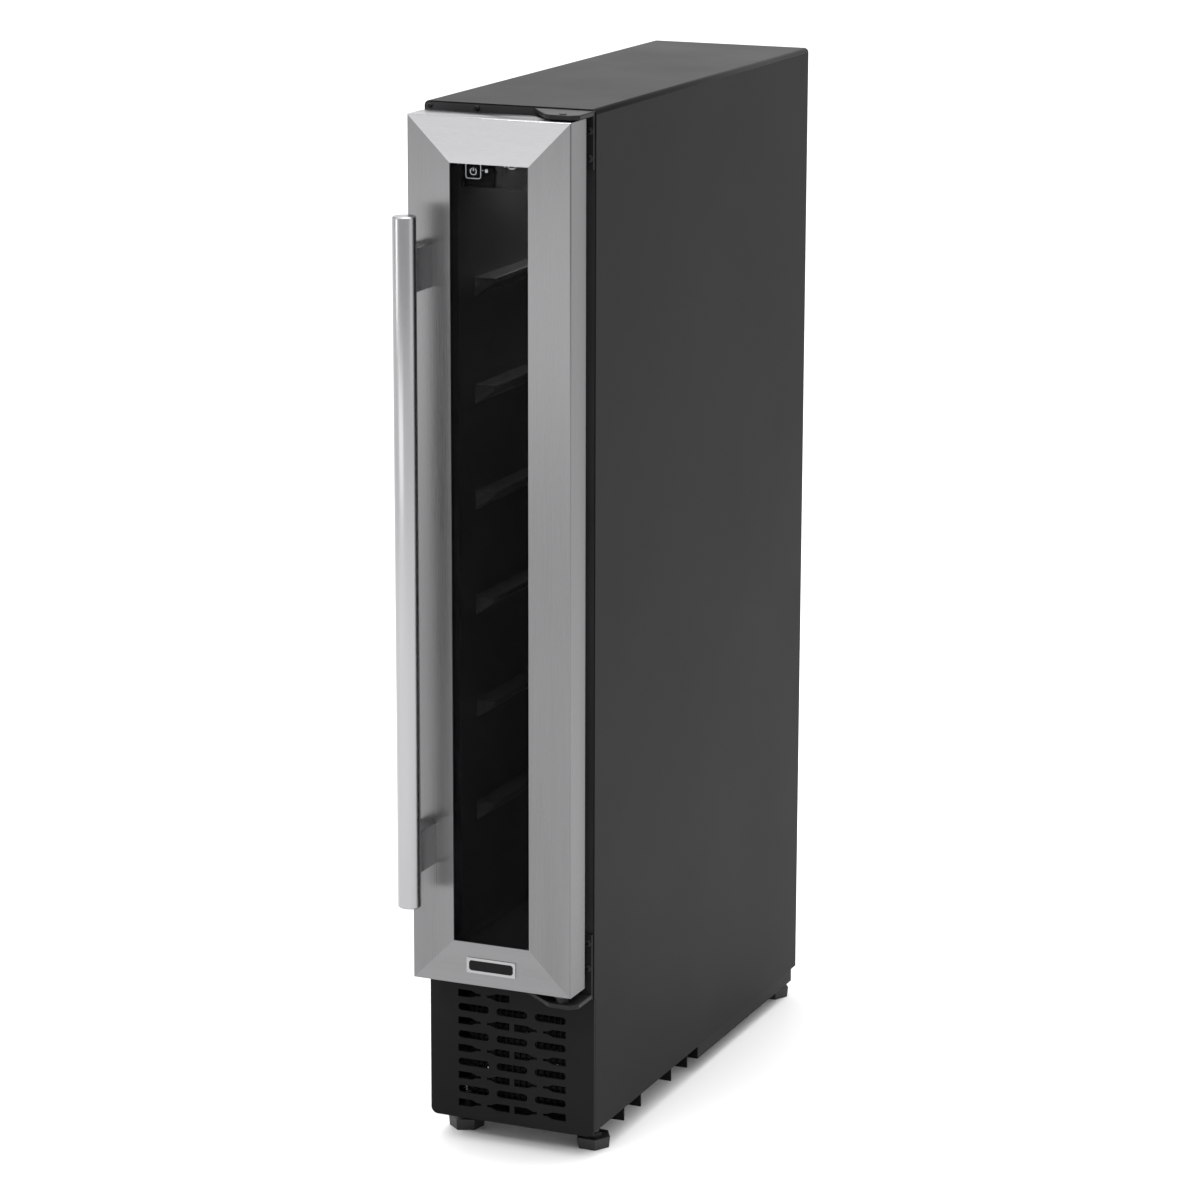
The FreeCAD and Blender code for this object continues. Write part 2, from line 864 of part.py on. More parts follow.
def hinge_bracket(label, plate_z, flange_z, rear_left, screw_heights):
    """A trapezoid arm over or under the door with a flange screwed to the cabinet's face."""
    arm_end = front - 35
    outline = [
        (as_size(rear_left), front),
        (as_size(44), front - 31),
        (as_size(49), arm_end),
        (as_size(67), arm_end),
        (as_size(73), front - 29),
        (as_size(73), front),
    ]
    arm = prism("XY_Plane", outline, *plate_z)
    round_edges(arm, as_size(0.8), lambda edge: is_level(edge) and not on_face(edge))
    flange = box((as_size(64.5), as_size(73)), (front - 3, front), flange_z)
    holes = [rod(2, "y", (69.5, front - 4, z), 5) for z in screw_heights]
    pin_hole = rod(d.pin_radius, "z", (hinge_x, hinge_y, plate_z[0] - 1), plate_z[1] - plate_z[0] + 2)
    keep(label, cut(joined([arm, flange]), pin_hole, *holes))


def is_level(edge):
    low, high = edge.Vertexes[0].Point, edge.Vertexes[-1].Point
    return abs(low.z - high.z) < 1e-6


def on_face(edge):
    """True for an edge that lies in the cabinet's front plane."""
    return abs(edge.CenterOfMass.y - front.number) < 0.1


def hinges():
    """Both brackets and their pins, the four flange screws, and two more above the door."""
    lower, upper = flange_screw_heights()
    top_plate = (d.door_top + 1, d.cabinet_top - 1)
    bottom_plate = (d.crossbar_bottom + 1, d.crossbar_bottom + 5)
    hinge_bracket("top_hinge_bracket", top_plate, (as_size(823), top_plate[1]), 21, upper)
    hinge_bracket("bottom_hinge_bracket", bottom_plate, (bottom_plate[0], as_size(197)), 5, lower)
    top_pin = rod(d.pin_radius, "z", (hinge_x, hinge_y, d.door_top - 12), top_plate[1] - d.door_top + 12.5)
    shoulder = (bottom_plate[1], d.door_bottom - 2.6)
    pin_start = bottom_plate[0] - 0.5
    bottom_pin = joined([
        rod(d.pin_radius, "z", (hinge_x, hinge_y, pin_start), d.door_bottom + 12 - pin_start),
        rod(d.bush_radius, "z", (hinge_x, hinge_y, shoulder[0]), shoulder[1] - shoulder[0]),
    ])
    keep("hinge_pins", together([top_pin, bottom_pin]))
    screws = []
    for z in lower + upper:
        screws.append(pan_screw((69.5, front - 3, z), 3.2, 2, 9))
    for x in STRIP_SCREWS:
        screws.append(pan_screw((x, front, d.strip_screw_height), 2.2, 1, 1.2))
    keep("cabinet_screws", together(screws))


def pan_screw(start, head_radius, shank_radius, shank_length):
    """A screw along the depth: a domed head in front of its start point, a shank behind it."""
    profile = [
        (0, -2),
        (head_radius * 0.6, -2),
        (head_radius, -0.8),
        (head_radius, 0),
        (shank_radius, 0),
        (shank_radius, shank_length),
        (0, shank_length),
    ]
    screw = spin(profile, start, "y")
    slots = []
    for wide, tall in ((0.4, 1.6), (1.6, 0.4)):
        across = (start[0] - as_size(wide), start[0] + as_size(wide))
        up = (start[2] - as_size(tall), start[2] + as_size(tall))
        slots.append(box(across, (start[1] - 2.5, start[1] - 1.3), up))
    return cut(screw, *slots)


# ---- door -----------------------------------------------------------------------------------

def door_members():
    """Four folded steel members, mitred at the corners, cut from one hollow ring."""
    z = (d.door_bottom, d.door_top)
    body = ring(both(d.door_half), z, both(opening_half), (opening_low, opening_high), (door_face, door_back))
    round_edges(body, as_size(1), on_door_edge)
    inside = box(
        both(d.door_half - d.skin),
        (door_face + d.skin, door_back + 5),
        (z[0] + d.skin, z[1] - d.skin),
    )
    bore_starts = (d.door_bottom - 4, d.door_top - 6)
    bores = [rod(d.bush_radius, "z", (hinge_x, hinge_y, low), 10) for low in bore_starts]
    screws = handle_screw_holes(door_face - 3, 6)
    skin = cut(body, inside, *bores, *screws)
    outer_x, inner_x = d.door_half, opening_half
    mitres = {
        "top": [(-outer_x, z[1]), (-inner_x, opening_high), (inner_x, opening_high), (outer_x, z[1])],
        "bottom": [(-outer_x, z[0]), (outer_x, z[0]), (inner_x, opening_low), (-inner_x, opening_low)],
        "left": [(-outer_x, z[0]), (-inner_x, opening_low), (-inner_x, opening_high), (-outer_x, z[1])],
        "right": [(outer_x, z[0]), (outer_x, z[1]), (inner_x, opening_high), (inner_x, opening_low)],
    }
    for name, outline in mitres.items():
        wedge = prism("XZ_Plane", outline, door_face - 1, door_back + 1)
        keep(f"door_frame_{name}", common(skin, wedge))


def on_door_edge(edge):
    """True for the ring's outer edges round its front face."""
    middle = edge.CenterOfMass
    at_front = abs(middle.y - door_face.number) < 0.1
    beside = abs(middle.x) > d.door_half.number - 0.1
    above = abs(middle.z - d.door_top.number) < 0.1
    below = abs(middle.z - d.door_bottom.number) < 0.1
    return at_front and (beside or above or below)


def handle_screw_holes(y, length):
    return [rod(2.5, "y", (d.handle_across, y, z), length) for z in (d.post_low, d.post_high)]


def door_core():
    """The plastic frame inside the steel that holds the glass, the bushes and the gasket."""
    outer = d.door_half - d.skin
    z = (d.door_bottom + d.skin, d.door_top - d.skin)
    glass_x = both(d.glass_half + 0.2)
    body = ring(both(outer), z, glass_x, (glass_low - 0.2, glass_high + 0.2), (door_face + d.skin, door_back))
    lip = ring(
        both(outer - 2),
        (z[0] + 2, z[1] - 2),
        both(d.gasket_in),
        (glass_low + 2, glass_high - 2),
        (door_back - 6, door_back),
    )
    bores = [
        rod(d.bush_radius, "z", (hinge_x, hinge_y, d.door_bottom), 14.4),
        rod(d.bush_radius, "z", (hinge_x, hinge_y, d.door_top - 14.4), 14.4),
    ]
    access = []
    for z_screw in (d.post_low, d.post_high):
        access.append(rod(5.2, "y", (d.handle_across, door_face, z_screw), 40))
    keep("door_core", cut(joined([body, lip]), *bores, *access))


def glazing():
    """Two panes with a spacer between them."""
    z = (glass_low, glass_high)
    start = door_face + d.skin
    second = start + d.glass_thick + d.spacer_thick
    for label, y in (("outer_glass", start), ("inner_glass", second)):
        pane = prism("XZ_Plane", rectangle(both(d.glass_half), z, as_size(2)), y, y + d.glass_thick)
        keep(label, pane)
    edge = d.glass_half - 1
    bar = as_size(4)
    spacer = ring(
        both(edge),
        (z[0] + 1, z[1] - 1),
        both(edge - bar),
        (z[0] + 1 + bar, z[1] - 1 - bar),
        (start + d.glass_thick, second),
    )
    keep("glass_spacer", spacer)


def door_gasket():
    """A magnetic seal: a base strip and a narrower hollow bellows, standing off the cabinet."""
    reach = d.glass_half - d.gasket_in
    low, high = glass_low + reach, glass_high - reach
    width = d.gasket_out - d.gasket_in
    base = ring(
        both(d.gasket_out),
        (low - width, high + width),
        both(d.gasket_in),
        (low, high),
        (door_back, door_back + 3),
    )
    bellows = ring(
        both(d.gasket_out - 1.5),
        (low - width + 1.5, high + width - 1.5),
        both(d.gasket_in + 2),
        (low - 2, high + 2),
        (door_back + 3, front + d.gasket_rear),
    )
    rear_face = (front + d.gasket_rear).number
    round_edges(bellows, as_size(1.5), lambda edge: abs(edge.CenterOfMass.y - rear_face) < 0.1)
    keep("door_gasket", joined([base, bellows]))


def handle():
    """A round bar on two posts, each held by a screw through the door's skin."""
    x = d.handle_across
    y = front + d.handle_forward
    length = d.handle_top - d.handle_bottom
    bevel = as_size(1)
    profile = [
        (0, 0),
        (d.handle_radius - bevel, 0),
        (d.handle_radius, bevel),
        (d.handle_radius, length - bevel),
        (d.handle_radius - bevel, length),
        (0, length),
    ]
    keep("handle_bar", spin(profile, (x, y, d.handle_bottom)))
    screws = []
    for label, z in (("handle_post_lower", d.post_low), ("handle_post_upper", d.post_high)):
        half = d.post_tall / 2
        post = new_body()
        outline = rectangle((x - d.post_width / 2, x + d.post_width / 2), (z - half, z + half), as_size(0.8))
        pad(post, draw(post, "XZ_Plane", outline, -door_face), door_face - y)
        saddle = rod(d.handle_radius, "z", (x, y, z - half - 1), d.post_tall + 2)
        thread = rod(2.5, "y", (x, door_face - 16, z), 17)
        keep(label, cut(post, saddle, thread))
        head = rod(4.5, "y", (x, door_face + d.skin, z), 3.4)
        shank = rod(2.5, "y", (x, door_face - 15, z), 15 + d.skin)
        screws.append(joined([head, shank]))
    keep("handle_screws", together(screws))


def badge_plate():
    """A plain oblong plate low on the door."""
    y = door_face
    z = (d.badge_low, d.badge_low + d.badge_tall)
    plate = prism("XZ_Plane", rectangle(both(d.badge_half), z, as_size(1)), y - 0.8, y)
    keep("badge_plate", plate)


def door_bushes():
    """Flanged plastic bushes pressed into the door's top and bottom for the hinge pins."""
    inner = d.pin_radius + d.running_gap
    bottom = joined([
        rod(d.bush_radius, "z", (hinge_x, hinge_y, d.door_bottom), 14),
        rod(7.5, "z", (hinge_x, hinge_y, d.door_bottom - 2.3), 2.3),
    ])
    top = rod(d.bush_radius, "z", (hinge_x, hinge_y, d.door_top - 14), 14)
    bushes = []
    for bush in (bottom, top):
        bore = rod(inner, "z", (hinge_x, hinge_y, 100), 800)
        bushes.append(cut(bush, bore))
    keep("door_bushes", together(bushes))


# ---- cooling machine ------------------------------------------------------------------------

def compressor():
    """A sealed can with domed ends on a foot plate, its terminal box and four rubber mounts."""
    low, high = d.can_bottom, d.can_top
    dome = as_size(16)
    profile = [
        (0, low),
        (d.can_radius - dome, low),
        (d.can_radius, low + dome),
        (d.can_radius, high - dome),
        (d.can_radius - dome, high),
        (0, high),
    ]
    can = spin(profile, (0, can_y, 0))
    plate = box(both(as_size(58)), (can_y - 48, can_y + 48), (as_size(33), as_size(36)))
    seat = rod(30, "z", (0, can_y, 33), 8)
    discharge = rod(4, "x", (40, can_y, 100), 20)
    suction = rod(5, "y", (-30, can_y, 130), 48)
    mounts = [(x, can_y + y) for x in (-48, 48) for y in (-40, 40)]
    holes = [rod(4, "z", (x, y, 30), 10) for x, y in mounts]
    shape = joined([can, plate, seat, discharge, suction])
    keep("compressor", cut(shape, *holes))
    rubber = []
    bolts = []
    for x, y in mounts:
        foot = joined([rod(8, "z", (x, y, 14.5), 18.5), rod(4, "z", (x, y, 30), 6)])
        rubber.append(cut(foot, rod(2.5, "z", (x, y, 10), 40)))
        bolts.append(joined([rod(2.5, "z", (x, y, 14.5), 24), rod(5, "z", (x, y, 36), 3)]))
    keep("compressor_mounts", together(rubber))
    keep("compressor_bolts", together(bolts))
    block = box(both(as_size(26)), (can_y - 76, can_y - 30), (as_size(64), as_size(128)))
    keep("terminal_box", cut(block, rod(d.can_radius, "z", (0, can_y, 50), 90)))


def condenser():
    """A folded tube with upright wires on both sides, close behind the grille."""
    y = (front + 24).number
    lowest, row_rise, side = 38, 12, -50
    route = [(50, y, lowest)]
    for row in range(8):
        route.append((side, y, lowest + row * row_rise))
        route.append((side, y, lowest + (row + 1) * row_rise))
        side = -side
    route.append((side, y, lowest + 8 * row_rise))
    tube = bent_tube(route, as_size(2.4), as_size(5.8))
    wires = []
    for column in range(16):
        x = -41 + column * 5.5
        for offset in (-3.6, 3.6):
            wires.append(rod(0.8, "z", (x, y + offset, 33), 106))
    keep("condenser_coil", together([tube] + wires))


def plumbing():
    """The tubes between the compressor, the condenser and the evaporator, and the dryer."""
    discharge = bent_tube(
        [
            (56, (can_y - 4).number, 100),
            (56, (front + 330).number, 100),
            (56, (front + 330).number, 56),
            (56, (front + 32).number, 56),
        ],
        d.discharge_radius,
        d.tube_bend,
    )
    keep("discharge_tube", discharge)
    suction = bent_tube(
        [
            (-30, (can_y + 48).number, 130),
            (-30, (front + 455).number, 130),
            (-30, (front + 455).number, 335),
            (-30, (front + 435).number, 335),
        ],
        d.suction_radius,
        as_size(6),
    )
    keep("suction_tube", suction)
    dryer = spin(
        [(0, 0), (3, 0), (3, 8), (9, 16), (9, 84), (3, 92), (3, 100), (0, 100)],
        (-56, front + 215, 60),
        "y",
    )
    keep("filter_dryer", dryer)


def drip_tray():
    """The evaporation tray over the compressor and the drain tube down into it."""
    y = (can_y - 42, can_y + 44)
    low = d.can_top
    tray = box(both(as_size(44)), y, (low, low + 18))
    hollow = box(both(as_size(42)), (y[0] + 2, y[1] - 2), (low + 2, low + 30))
    keep("evaporation_tray", cut(tray, hollow))
    centre = (0, front + 431)
    outer = rod(4, "z", (*centre, low + 10), d.hump_top - low - 10)
    keep("drain_tube", cut(outer, rod(2.6, "z", (*centre, low), 200)))


def electrics():
    """The power box behind the condenser fan and the gland where the supply cord enters."""
    low = d.shell_bottom + 1.5
    shell = box((as_size(-30), as_size(30)), (front + 172, front + 206), (low, low + 84))
    lid = box((as_size(-31), as_size(31)), (front + 206, front + 209), (low + 1, low + 84))
    keep("power_box", shell)
    keep("power_box_lid", lid)
    place = (45, rear, d.base_bottom + 50)
    gland = joined([
        rod(11, "y", place, 4),
        rod(7.9, "y", (45, rear - 8, d.base_bottom + 50), 20),
    ])
    bore = rod(3.8, "y", (45, rear - 20, d.base_bottom + 50), 60)
    keep("cord_gland", cut(gland, bore))


def wall_spacers():
    """Four stand-offs on the back that keep an air gap to the wall."""
    spacers = []
    for x in (-52, 52):
        for z in (300, 820):
            profile = [(0, 0), (10, 0), (10, 3), (6, d.spacer_reach), (0, d.spacer_reach)]
            spacers.append(spin(profile, (x, rear, z), "y"))
    keep("wall_spacers", together(spacers))


def build():
    outer_shell()
    front_frame()
    back_panel()
    rear_cover()
    insulation()
    inner_liner()
    bottle_rests(-1, "bottle_rests_left")
    bottle_rests(1, "bottle_rests_right")
    duct_cover()
    evaporator_plate()
    fan("cabin_fan_frame", "cabin_fan_rotor", (front + 421, d.cabin_fan_height), as_size(41), as_size(17))
    control_panel()
    temperature_sensor()
    front_grille()
    base_trays()
    feet()
    hinges()
    door_members()
    door_core()
    glazing()
    door_gasket()
    handle()
    badge_plate()
    door_bushes()
    compressor()
    condenser()
    fan(
        "base_fan_frame",
        "base_fan_rotor",
        (front + d.base_fan_forward, d.base_fan_height),
        as_size(45),
        as_size(25),
    )
    plumbing()
    drip_tray()
    electrics()
    wall_spacers()


def check():
    """Stops before anything is written if an object failed or a sub-part isn't a sound solid."""
    for obj in doc.Objects:
        if any(word in obj.State for word in ("Invalid", "Error")):
            raise RuntimeError(f"{obj.Name} ({obj.Label}) failed: {obj.State}")
    for node in nodes:
        if node.Shape.isNull() or not node.Shape.isValid() or not node.Shape.Solids:
            raise RuntimeError(f"{node.Label} is not a valid solid")


build()
doc.recompute()
check()
os.makedirs("parts", exist_ok=True)
for node in nodes:
    node.Shape.exportStep(f"parts/{node.Label}.step")
print(len(nodes), "sub-parts written")
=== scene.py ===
import math

import bmesh
import bpy
from mathutils import Matrix, Vector


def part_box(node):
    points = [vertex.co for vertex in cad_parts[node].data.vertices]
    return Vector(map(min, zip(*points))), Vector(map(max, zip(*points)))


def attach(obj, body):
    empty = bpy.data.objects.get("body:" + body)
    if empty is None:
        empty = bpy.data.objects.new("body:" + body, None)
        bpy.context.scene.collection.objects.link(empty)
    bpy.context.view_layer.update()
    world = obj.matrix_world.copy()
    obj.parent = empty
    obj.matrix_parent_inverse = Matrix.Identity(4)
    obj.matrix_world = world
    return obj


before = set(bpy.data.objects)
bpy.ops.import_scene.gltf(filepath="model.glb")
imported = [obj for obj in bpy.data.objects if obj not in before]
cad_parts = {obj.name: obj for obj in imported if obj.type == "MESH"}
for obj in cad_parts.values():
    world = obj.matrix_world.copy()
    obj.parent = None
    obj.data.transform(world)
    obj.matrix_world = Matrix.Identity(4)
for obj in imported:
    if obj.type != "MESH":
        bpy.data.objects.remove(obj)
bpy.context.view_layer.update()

MM = 0.001  # lengths are in metres; X is to the right, Y to the back and Z up
NOISE_RANGE = (0.3, 0.7)  # most values of a noise lie between these


# ---------------------------------------------------------------- node helpers


class Shader:
    """A new material with one Principled shader, and short ways to add to its nodes."""

    def __init__(self, name):
        self.material = bpy.data.materials.new(name)
        self.material.use_nodes = True
        self.tree = self.material.node_tree
        self.surface = self.tree.nodes["Principled BSDF"]

    def node(self, kind, **settings):
        made = self.tree.nodes.new(kind)
        for key, value in settings.items():
            setattr(made, key, value)
        return made

    def link(self, source, target):
        self.tree.links.new(source, target)

    def set(self, **values):
        """Numbers and colours on the shader's own sockets; an underscore stands for a space."""
        for key, value in values.items():
            self.surface.inputs[key.replace("_", " ")].default_value = value

    def place(self, stretch):
        """Points on the object in metres, multiplied by stretch along each axis."""
        points = self.node("ShaderNodeTexCoord")
        mapping = self.node("ShaderNodeMapping")
        mapping.inputs["Scale"].default_value = stretch
        self.link(points.outputs["Object"], mapping.inputs["Vector"])
        return mapping.outputs["Vector"]

    def noise(self, stretch, detail=3.0, roughness=0.55):
        """Soft noise of about stretch cells to the metre along each axis."""
        made = self.node("ShaderNodeTexNoise")
        made.inputs["Scale"].default_value = 1.0
        made.inputs["Detail"].default_value = detail
        made.inputs["Roughness"].default_value = roughness
        self.link(self.place(stretch), made.inputs["Vector"])
        return made.outputs["Fac"]

    def cells(self, stretch):
        """Sharp-edged cells, about stretch of them to the metre along each axis."""
        made = self.node("ShaderNodeTexVoronoi")
        made.inputs["Scale"].default_value = 1.0
        self.link(self.place(stretch), made.inputs["Vector"])
        return made

    def between(self, value, low, high, out_low, out_high):
        """A value that goes from low to high, made to go from out_low to out_high."""
        made = self.node("ShaderNodeMapRange")
        limits = {"From Min": low, "From Max": high, "To Min": out_low, "To Max": out_high}
        for key, number in limits.items():
            made.inputs[key].default_value = number
        self.link(value, made.inputs["Value"])
        return made.outputs["Result"]

    def colours(self, value, first, second, low=0.35, high=0.65):
        made = self.node("ShaderNodeValToRGB")
        made.color_ramp.elements[0].position = low
        made.color_ramp.elements[0].color = (*first, 1)
        made.color_ramp.elements[1].position = high
        made.color_ramp.elements[1].color = (*second, 1)
        self.link(value, made.inputs["Fac"])
        self.link(made.outputs["Color"], self.surface.inputs["Base Color"])

    def roughness(self, value, low, high):
        self.link(self.between(value, *NOISE_RANGE, low, high), self.surface.inputs["Roughness"])

    def bump(self, value, depth, strength):
        """Raised grain; depth is in metres."""
        made = self.node("ShaderNodeBump")
        made.inputs["Strength"].default_value = strength
        made.inputs["Distance"].default_value = depth
        self.link(value, made.inputs["Height"])
        self.link(made.outputs["Normal"], self.surface.inputs["Normal"])


def shade(tone, tint=0.0):
    """A near-grey colour, a little bluer with a larger tint."""
    return (tone, tone, tone * (1 + tint))


def even(scale):
    return (scale, scale, scale)


# ------------------------------------------------------------------- materials


def enamel(name, dark, light, rough, shine):
    """Baked satin enamel on sheet steel: faint orange peel, cloudy gloss and a few specks."""
    s = Shader(name)
    peel = s.noise(even(520), detail=2)
    clouds = s.noise(even(7), detail=4)
    s.colours(clouds, shade(dark), shade(light, 0.05))
    s.roughness(clouds, *rough)
    s.bump(peel, 0.00004, 0.35)
    s.set(IOR=1.3, Specular_IOR_Level=shine)
    return s.material


def brushed(name, axis, dark, light, rough, anisotropy):
    """Stainless steel brushed along one axis: long fine scratches over soft uneven polishing."""
    s = Shader(name)
    fine = [5200.0] * 3  # scratches to the metre, across them
    fine[axis] = 14.0  # and along them
    broad = [26.0] * 3
    broad[axis] = 2.2
    scratches = s.noise(tuple(fine), detail=4, roughness=0.7)
    bands = s.noise(tuple(broad), detail=3)
    mixed = s.node("ShaderNodeMath", operation="ADD")
    s.link(s.between(scratches, 0, 1, 0, 0.5), mixed.inputs[0])
    s.link(s.between(bands, 0, 1, 0, 0.5), mixed.inputs[1])
    s.colours(mixed.outputs["Value"], shade(dark, 0.008), shade(light, 0.012), 0.3, 0.7)
    s.roughness(mixed.outputs["Value"], *rough)
    s.bump(scratches, 0.000012, 0.45)
    s.set(Metallic=1.0, Anisotropic=anisotropy)
    return s.material


def plastic(name, dark, light, rough, grain=900):
    """Moulded plastic with a fine spark-eroded texture and slight colour variation."""
    s = Shader(name)
    texture = s.noise(even(grain), detail=3)
    clouds = s.noise(even(24), detail=3)
    s.colours(clouds, shade(dark), shade(light, 0.04))
    s.roughness(texture, *rough)
    s.bump(texture, 0.00005, 0.5)
    s.set(IOR=1.5)
    return s.material


def rubber(name, dark, light):
    """Soft matt rubber, dusty on its raised grain."""
    s = Shader(name)
    grain = s.noise(even(1400), detail=4)
    s.colours(grain, shade(dark), shade(light))
    s.roughness(grain, 0.62, 0.82)
    s.bump(grain, 0.00005, 0.5)
    s.set(IOR=1.5)
    return s.material


def smoked_glass(name, tone, clear, shine=0.5):
    """Smoked glass, see-through by the share clear; a faint wave breaks up what it mirrors."""
    s = Shader(name)
    wave = s.noise(even(9), detail=1)
    smears = s.noise((30, 30, 9), detail=4)
    s.colours(smears, shade(tone), shade(tone * 1.3, 0.03))
    s.roughness(smears, 0.02, 0.06)
    s.bump(wave, 0.0002, 0.05)
    s.set(Alpha=1 - clear, IOR=1.52, Specular_IOR_Level=shine)
    return s.material


def galvanised(name):
    """Zinc coated sheet with its frosty spangle."""
    s = Shader(name)
    spangle = s.cells(even(260))
    brightness = s.node("ShaderNodeSeparateColor")
    s.link(spangle.outputs["Color"], brightness.inputs["Color"])
    s.colours(brightness.outputs["Red"], (0.36, 0.37, 0.38), (0.43, 0.44, 0.455), 0.1, 0.9)
    s.roughness(brightness.outputs["Green"], 0.42, 0.52)
    s.bump(s.noise(even(300)), 0.00003, 0.3)
    s.set(Metallic=1.0)
    return s.material


def metal(name, dark, light, rough):
    """Plain or plated metal with slight handling marks; dark and light are full colours."""
    s = Shader(name)
    marks = s.noise(even(500), detail=4)
    clouds = s.noise(even(40), detail=3)
    s.colours(clouds, dark, light)
    s.roughness(marks, *rough)
    s.bump(marks, 0.00002, 0.35)
    s.set(Metallic=1.0)
    return s.material


def foam(name):
    """Rigid foam: open cells in an uneven cream colour."""
    s = Shader(name)
    bubbles = s.cells(even(700))
    clouds = s.noise(even(30))
    s.colours(clouds, (0.68, 0.58, 0.34), (0.82, 0.74, 0.5))
    s.roughness(clouds, 0.8, 0.95)
    s.bump(bubbles.outputs["Distance"], 0.0003, 0.6)
    return s.material


def milky(name, tone, glow):
    """Frosted plastic over a lamp or a mark lit from behind."""
    s = Shader(name)
    frost = s.noise(even(600))
    s.colours(frost, shade(tone * 0.9), shade(tone))
    s.roughness(frost, 0.35, 0.5)
    s.bump(frost, 0.00003, 0.3)
    s.set(Emission_Color=(0.86, 0.93, 1.0, 1), Emission_Strength=glow)
    return s.material


ALONG_X = 0  # the axis that steel is brushed along
ALONG_Z = 2


def make_materials():
    """A material for each slot of the record, and those that SPECIAL and the display use."""
    return {
        "cabinet_black": enamel("cabinet_black", 0.006, 0.008, (0.36, 0.42), 0.08),
        "grille_black": enamel("grille_black", 0.005, 0.008, (0.4, 0.5), 0.14),
        "door_steel": brushed("door_steel", ALONG_Z, 0.135, 0.18, (0.24, 0.32), 0.75),
        # lit and shaded copies of door_steel for the top and bottom members: the top's much lighter
        # colour is painted sheen from the lights above, the bottom's darker colour is painted shade
        "door_steel_top_painted_sheen": brushed("door_steel_top_painted_sheen", ALONG_X, 0.29, 0.37, (0.24, 0.32), 0.75),
        "door_steel_bottom_painted_shade": brushed("door_steel_bottom_painted_shade", ALONG_X, 0.15, 0.2, (0.24, 0.32), 0.75),
        "handle_steel": brushed("handle_steel", ALONG_Z, 0.29, 0.36, (0.2, 0.26), 0.6),
        "badge_steel": brushed("badge_steel", ALONG_X, 0.24, 0.32, (0.2, 0.3), 0.5),
        "tinted_glass": smoked_glass("tinted_glass", 0.004, 0.86, 0.03),
        "liner_black": plastic("liner_black", 0.022, 0.032, (0.36, 0.5), 1100),
        "rest_black": plastic("rest_black", 0.035, 0.05, (0.34, 0.48)),
        "frame_black": plastic("frame_black", 0.014, 0.022, (0.36, 0.5)),
        "seal_black": rubber("seal_black", 0.012, 0.022),
        "foam": foam("foam"),
        "galvanised": galvanised("galvanised"),
        "copper": metal("copper", (0.6, 0.27, 0.15), (0.78, 0.4, 0.24), (0.26, 0.42)),
        "wire_black": enamel("wire_black", 0.005, 0.009, (0.3, 0.45), 0.15),
        "cold_plate": metal("cold_plate", (0.55, 0.56, 0.57), (0.68, 0.69, 0.7), (0.32, 0.48)),
        "fan_black": plastic("fan_black", 0.008, 0.014, (0.34, 0.48)),
        "panel_gloss": smoked_glass("panel_gloss", 0.012, 0.0),
        "lamp_cover": milky("lamp_cover", 0.2, 0.02),
        "sensor_white": plastic("sensor_white", 0.62, 0.74, (0.4, 0.55)),
        "foot_black": plastic("foot_black", 0.005, 0.009, (0.46, 0.6), 700),
        "mount_rubber": rubber("mount_rubber", 0.016, 0.028),
        "hinge_black": enamel("hinge_black", 0.01, 0.016, (0.32, 0.45), 0.25),
        # a lighter copy of the cabinet's black enamel for the front frame; its lighter colour is painted
        # light that the strip above the door catches
        "trim_black_painted_light": enamel("trim_black_painted_light", 0.02, 0.026, (0.36, 0.46), 0.3),
        "pin_steel": metal("pin_steel", shade(0.52), shade(0.66), (0.2, 0.34)),
        "tray_plastic": plastic("tray_plastic", 0.03, 0.045, (0.4, 0.55)),
        "bush_nylon": plastic("bush_nylon", 0.4, 0.5, (0.38, 0.5)),
        "spacer_bar": metal("spacer_bar", shade(0.34), shade(0.44), (0.35, 0.5)),
        "mark": milky("mark", 0.8, 0.8),
    }


def node_slots():
    """The record's material slot of each CAD node, read from the materials that came with it."""
    return {name: node.data.materials[0].name.split(".")[0] for name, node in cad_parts.items()}


SPECIAL = {  # nodes whose material differs from the rest of their slot; for the door's top and bottom members and the front frame the difference is painted light
    "door_frame_top": "door_steel_top_painted_sheen", "door_frame_bottom": "door_steel_bottom_painted_shade",
    "cabinet_screws": "hinge_black", "hinge_pins": "hinge_black", "door_bushes": "frame_black",
    "front_frame": "trim_black_painted_light",
}


def paint_nodes(materials):
    """Gives every CAD node its slot's material, or its own where SPECIAL names one."""
    for name, slot in node_slots().items():
        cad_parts[name].material_slots[0].material = materials[SPECIAL.get(name, slot)]


# -------------------------------------------------------------- softened edges

FOLDED = {  # sheet metal and mouldings whose edges catch the light, with the radius in mm
    "outer_shell": 0.5, "front_frame": 0.25, "front_grille": 0.3,
    "door_frame_top": 0.45, "door_frame_bottom": 0.45,
    "door_frame_left": 0.45, "door_frame_right": 0.45,
    "handle_bar": 0.6, "handle_post_lower": 0.4, "handle_post_upper": 0.4,
    "bottle_rests_left": 0.8, "bottle_rests_right": 0.8,
    "top_hinge_bracket": 0.35, "bottom_hinge_bracket": 0.35,
    "front_base_tray": 0.3, "middle_base_tray": 0.3, "compressor_base": 0.3,
    "rear_cover": 0.3, "back_panel": 0.3, "badge_plate": 0.2, "wall_spacers": 0.6,
    "foot_front_left": 0.7, "foot_front_right": 0.7, "foot_rear_left": 0.7, "foot_rear_right": 0.7,
}
SHARPEST_SMOOTH = math.radians(32)
WELD_WITHIN = 0.01 * MM


